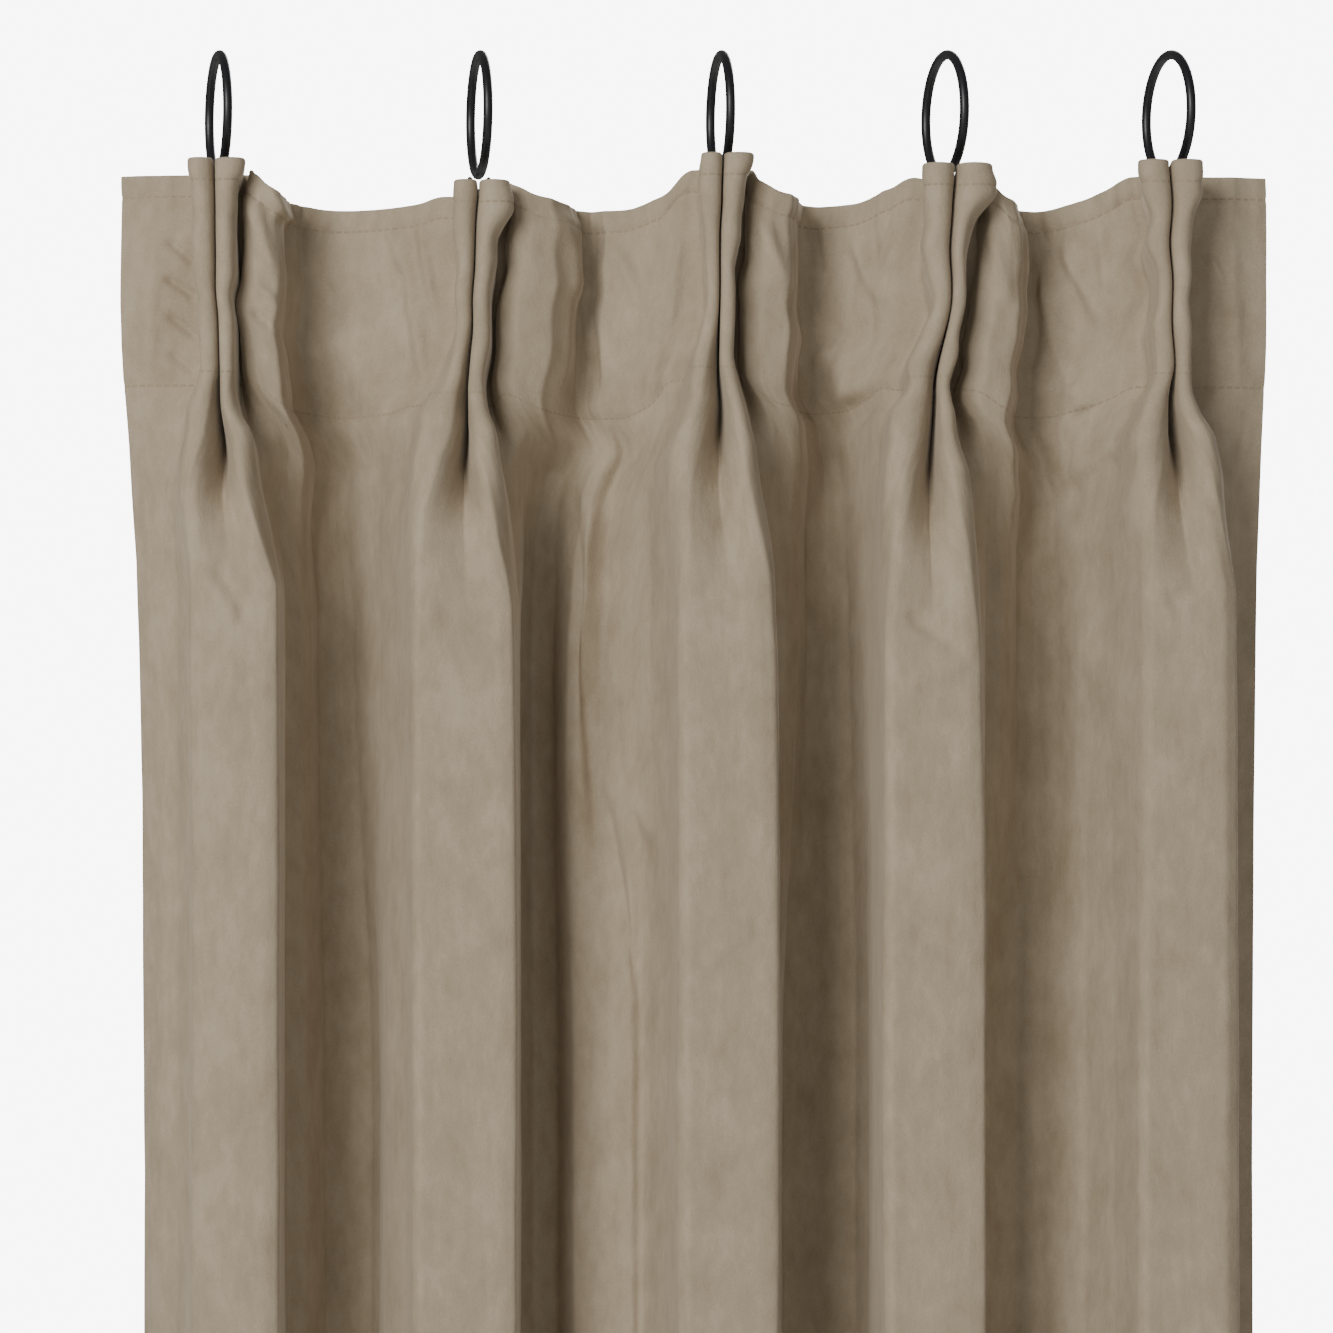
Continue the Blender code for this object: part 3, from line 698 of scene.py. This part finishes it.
def metal(name, code, roughness, metallic):
    """Wire with a finish: painted satin or bright, a little uneven where it was dipped or drawn."""
    made, tree, shader = new_material(name)
    place = add(tree, "TexCoord")["Object"]
    mist = add(tree, "TexNoise", {"Vector": place, "Scale": 420.0, "Detail": 3.0})["Fac"]
    span = add(tree, "MapRange", {"Value": mist, "To Min": roughness - 0.06, "To Max": roughness + 0.08})
    tree.links.new(span["Result"], shader.inputs["Roughness"])
    shader.inputs["Base Color"].default_value = colour(code)
    shader.inputs["Metallic"].default_value = metallic
    bump = add(tree, "Bump", {"Height": mist, "Strength": 0.15, "Distance": 0.0001})["Normal"]
    tree.links.new(bump, shader.inputs["Normal"])
    return made


def cotton_thread():
    """Sewing cotton in the velvet's colour, matt, a little lighter and darker along its twist."""
    made, tree, shader = new_material("sewing_cotton")
    place = add(tree, "TexCoord")["Object"]
    twist = add(tree, "TexNoise", {"Vector": place, "Scale": 1800.0, "Detail": 2.0})["Fac"]
    dyed = add(tree, "ValToRGB", {"Fac": twist}, ((0.0, "#8B7C66"), (1.0, "#B5A791")))["Color"]
    tree.links.new(dyed, shader.inputs["Base Color"])
    shader.inputs["Roughness"].default_value = 0.85
    return made


# ---- Face, tape and lining -------------------------------------------------------------------------

def sheet_piece(obj, space):
    """Carries a flap with the first or the last pleat, and bakes a stretch between two pleats where it lies.
    """
    if space == 0:
        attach(obj, "pleat_1")
    elif space == 5:
        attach(obj, "pleat_5")
    else:
        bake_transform(obj)


def stands_for(layer, space):
    """CAD nodes of a layer that a stretch from slit to slit takes the place of."""
    if space == 0:
        return [f"{layer}_pleat_1"]
    if space == 5:
        return [f"{layer}_pleat_5"]
    nodes = [f"{layer}_space_{space}"]
    return nodes + ([f"{layer}_pleat_{space}"] if space > 1 else [])


def make_cloth():
    """Builds face, tape and lining as one surface each, cut at the slits."""
    points, depths, starts = panel_grid()
    run = cloth_run(points)
    points = points + normals_of(points) * wrinkles(points, depths, run, starts)[..., None]
    normals = normals_of(points)
    make_face(points, normals, depths, run, starts)
    tape_rows = np.searchsorted(depths, TAPE_TOP), np.searchsorted(depths, TAPE_FOOT)
    buckram = plain_weave("heading_buckram", "#E2DCCB", "#C9C1AC", 1.1)
    tape_points = points - normals * TAPE_BEHIND
    make_backing("tape", tape_points, normals, depths, run, starts, tape_rows, buckram)
    lining_rows = np.searchsorted(depths, LINING_TOP), np.searchsorted(depths, DROP - LINING_SHORT)
    sateen = plain_weave("cotton_sateen_lining", "#E9E2D2", "#D6CDB9", 1.4)
    lining_points = points - normals * LINING_BEHIND
    make_backing("lining", lining_points, normals, depths, run, starts, lining_rows, sateen)


def make_face(points, normals, depths, run, starts):
    """The velvet, with its turned edges; its UVs are lengths of cloth across and down."""
    whole, above, under = turned_edge(points, normals, depths)
    whole_normals = normals_of(whole)
    turned = depths[0] - 1.0 - np.arange(above)[::-1] * 1.5
    hem = DROP + 1.0 + np.arange(under) * 3.0
    down = np.concatenate([turned, depths, hem])
    finish = velvet()
    for space in range(6):
        cut = slice(starts[space], starts[space + 1] + 1)
        uv = np.stack(np.broadcast_arrays(run[None, cut], down[:, None]), axis=2)
        face = mesh_from_grid(f"velvet_{space + 1}", whole[:, cut], uv, whole_normals[:, cut], finish)
        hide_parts(*stands_for("face", space))
        sheet_piece(face, space)


def make_backing(layer, points, normals, depths, run, starts, rows, finish):
    """A layer behind the velvet between two of its rows, with every second row and column of it."""
    top, bottom = rows
    kept = np.union1d(np.arange(top, bottom + 1, 2), [bottom])
    for space in range(6):
        columns = np.union1d(np.arange(starts[space], starts[space + 1] + 1, 2), [starts[space + 1]])
        inside = (run[columns] > SIDE_GAP) & (run[columns] < run[-1] - SIDE_GAP)
        columns = columns[inside]
        part = np.ix_(kept, columns)
        uv = np.stack(np.broadcast_arrays(run[None, columns], depths[kept][:, None]), axis=2)
        made = mesh_from_grid(f"{layer}_{space + 1}", points[part], uv, normals[part], finish, flip=True)
        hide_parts(*stands_for(layer, space))
        sheet_piece(made, space)


# ---- Rings, hooks and tacks -------------------------------------------------------------------------

def tube(name, path, radius, material, clear_of, closed=False, sides=14):
    """A round wire along a path in metres: circles square to the path, with domed ends if open.

    The path never runs along clear_of. A circle starts on that side of the path: clear_of less
    its part along the path. The cross product of the two is its other axis.
    """
    if closed:
        ahead = np.roll(path, -1, axis=0) - np.roll(path, 1, axis=0)
    else:
        ahead = np.gradient(path, axis=0)
    ahead /= np.linalg.norm(ahead, axis=1, keepdims=True)
    side = clear_of - ahead * (ahead @ clear_of)[:, None]
    side /= np.linalg.norm(side, axis=1, keepdims=True)
    other = np.cross(ahead, side)[:, None]
    side = side[:, None]
    turn = np.linspace(0, 2 * np.pi, sides, endpoint=False)[None, :, None]
    size = np.full(len(path), radius)
    if not closed:
        size[[0, -1]] *= 0.55
        size[[1, -2]] *= 0.9
    rings = path[:, None] + size[:, None, None] * (np.cos(turn) * side + np.sin(turn) * other)
    index = np.arange(len(path) * sides).reshape(len(path), sides)
    last = np.roll(index, -1, axis=0) if closed else index[1:]
    first = index if closed else index[:-1]
    faces = np.stack([first, np.roll(first, -1, axis=1), np.roll(last, -1, axis=1), last], axis=2)
    faces = faces.reshape(-1, 4).tolist()
    if not closed:
        faces += [index[0][::-1].tolist(), index[-1].tolist()]
    mesh = bpy.data.meshes.new(name)
    mesh.from_pydata(rings.reshape(-1, 3).tolist(), [], faces)
    mesh.polygons.foreach_set("use_smooth", np.ones(len(faces), bool))
    mesh.update()
    return object_of(mesh, material)


def box_of(node):
    """Lowest and highest corner of a CAD node, and its middle."""
    low, high = (np.array(corner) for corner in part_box(node))
    return low, high, (low + high) / 2


def circle(centre, radius, turn, aside):
    """Points on an upright circle: the turn is from the top, towards the side given."""
    turn = turn[:, None]
    return centre + radius * (np.sin(turn) * aside + np.cos(turn) * (0.0, 0.0, 1.0))


def placed(obj, node, body):
    """Puts a piece in the place of its CAD node, with the body that carries it."""
    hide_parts(node)
    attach(obj, body)


def hook_path(node):
    """Pin-on hook in its box: over the eye, down the back of the tape and up again as a pin.

    The crook is half a circle as deep as the box, and the foot half a circle to the side.
    """
    low, high, middle = box_of(node)
    half = HOOK_WIRE / 2
    x = low[0] + half
    radius = (high[1] - low[1]) / 2 - half
    y, z = middle[1], high[2] - half - radius
    bend = HOOK_PIN_APART / 2
    foot = low[2] + half + bend
    over = np.linspace(0, np.pi, 33)
    under = np.linspace(np.pi, 2 * np.pi, 25)
    crook = np.stack([np.full(33, x), y + radius * np.cos(over), z + radius * np.sin(over)], axis=1)
    turn = np.stack([x + bend + bend * np.cos(under), np.full(25, y - radius), foot + bend * np.sin(under)],
                    axis=1)
    tail = [(x, y + radius, z - HOOK_TAIL)]
    pin = [(x + 2 * bend, y - radius, foot + up) for up in (HOOK_PIN - HOOK_POINT, HOOK_PIN)]
    return np.concatenate([tail, crook, turn, pin])


def thread_path(node):
    """Cotton wound into a bar that fills its box: a helix along x with THREAD_TURNS turns."""
    low, high, middle = box_of(node)
    half_x, half_y, half_z = (high - low) / 2 - THREAD / 2
    share = np.linspace(0, 1, 20 * THREAD_TURNS)
    spin = 2 * np.pi * THREAD_TURNS * share
    return np.stack([half_x * (2 * share - 1), half_y * np.cos(spin), half_z * np.sin(spin)], axis=1) + middle


def make_hardware():
    """Rings, their eyes, the hooks and the thread bars, each where its CAD node is."""
    black = metal("satin_black_enamelled_steel", "#15161A", 0.38, 0.0)
    steel = metal("bright_spring_steel", "#B9BBBD", 0.28, 1.0)
    cotton = cotton_thread()
    joints = {joint["name"]: joint for joint in frame["joints"]}
    over_and_aside = np.array([1.0, 1.0, 0.0])
    along_bar = np.array([1.0, 0.0, 0.0])
    whole_turn = np.linspace(0, 2 * np.pi, 96, endpoint=False)
    eye_turn = np.linspace(EYE_GAP_HALF, 2 * np.pi - EYE_GAP_HALF, 49)
    for number in range(1, 6):
        yaw = math.radians(RING_TURNED - joints[f"turn_{number}"]["range_deg"][0])
        ahead = np.array([math.cos(yaw), math.sin(yaw), 0.0])
        aside = np.array([-math.sin(yaw), math.cos(yaw), 0.0])
        low, high, middle = box_of(f"ring_{number}")
        path = circle(middle, (high[2] - low[2]) / 2 - RING_WIRE / 2, whole_turn, aside)
        ring = tube(f"pole_ring_{number}", path, RING_WIRE / 2, black, ahead, closed=True, sides=16)
        placed(ring, f"ring_{number}", f"ring_{number}")
        low, high, middle = box_of(f"ring_eye_{number}")
        middle[2] = low[2] + EYE_OUTSIDE / 2
        path = circle(middle, (EYE_OUTSIDE - EYE_WIRE) / 2, eye_turn, ahead)
        eye = tube(f"brazed_eye_{number}", path, EYE_WIRE / 2, black, aside)
        placed(eye, f"ring_eye_{number}", f"ring_{number}")
        path = hook_path(f"hook_{number}")
        hook = tube(f"pin_hook_{number}", path, HOOK_WIRE / 2, steel, over_and_aside, sides=12)
        placed(hook, f"hook_{number}", f"pleat_{number}")
        path = thread_path(f"tack_{number}")
        bar = tube(f"thread_bar_{number}", path, THREAD / 2, cotton, along_bar, sides=8)
        placed(bar, f"tack_{number}", f"pleat_{number}")


# ---- Stage -----------------------------------------------------------------------------------------

# Lamps: name, place, what it points at, width in metres, watts and colour
LAMPS = (
    ("key", (-1.55, -2.75, 0.75), (0.05, 0.0, -0.45), 1.5, 97.0, (1.0, 0.99, 0.97)),
    ("front", (0.9, -3.2, 0.3), (0.0, 0.0, -0.4), 2.2, 10.0, (1.0, 1.0, 1.0)),
    ("back", (1.2, 2.8, 0.9), (0.0, 0.0, -0.9), 1.8, 60.0, (1.0, 1.0, 1.0)),
)


def make_stage(box):
    """A plain pale floor under the hem, a white room, soft lamps and the camera."""
    mesh = bpy.data.meshes.new("floor")
    level = box[0][2] - FLOOR_BELOW * MM
    mesh.from_pydata([(-4, -4, level), (4, -4, level), (4, 4, level), (-4, 4, level)], [], [(0, 1, 2, 3)])
    pale, _, shader = new_material("pale_floor")
    shader.inputs["Base Color"].default_value = colour("#F2F1EE")
    shader.inputs["Roughness"].default_value = 0.9
    shader.inputs["Emission Color"].default_value = colour("#F2F1EE")
    shader.inputs["Emission Strength"].default_value = 0.22
    object_of(mesh, pale)
    world = bpy.data.worlds.new("studio")
    bpy.context.scene.world = world
    world.use_nodes = True
    tree = world.node_tree
    tree.nodes.clear()
    # The camera sees a bright white room, but the cloth is lit by a weak warm fill
    fill = add(tree, "Background", {"Color": (1, 0.98, 0.95, 1), "Strength": 0.20})[0]
    seen = add(tree, "Background", {"Color": (1, 1, 1, 1), "Strength": 8.0})[0]
    by_camera = add(tree, "LightPath")["Is Camera Ray"]
    room = add(tree, "MixShader", {0: by_camera, 1: fill, 2: seen})[0]
    add(tree, "OutputWorld", {"Surface": room})
    for name, place, aim, size, power, tint in LAMPS:
        data = bpy.data.lights.new(name, "AREA")
        data.size = size
        data.energy = power
        data.color = tint
        lamp = bpy.data.objects.new(name, data)
        lamp.location = place
        way = np.array(aim) - np.array(place)
        tilt = math.atan2(math.hypot(way[0], way[1]), -way[2])
        lamp.rotation_euler = (tilt, 0.0, math.atan2(-way[0], way[1]))
        bpy.context.scene.collection.objects.link(lamp)
    data = bpy.data.cameras.new("camera")
    data.sensor_width = SENSOR
    data.lens = SENSOR * CAMERA_AWAY / VIEW_WIDTH
    camera = bpy.data.objects.new("camera", data)
    camera.location = (-0.013, -CAMERA_AWAY, -0.278)
    camera.rotation_euler = (math.pi / 2, 0.0, 0.0)
    bpy.context.scene.collection.objects.link(camera)
    bpy.context.scene.camera = camera


make_cloth()
make_hardware()
make_stage(CAD_BOX)
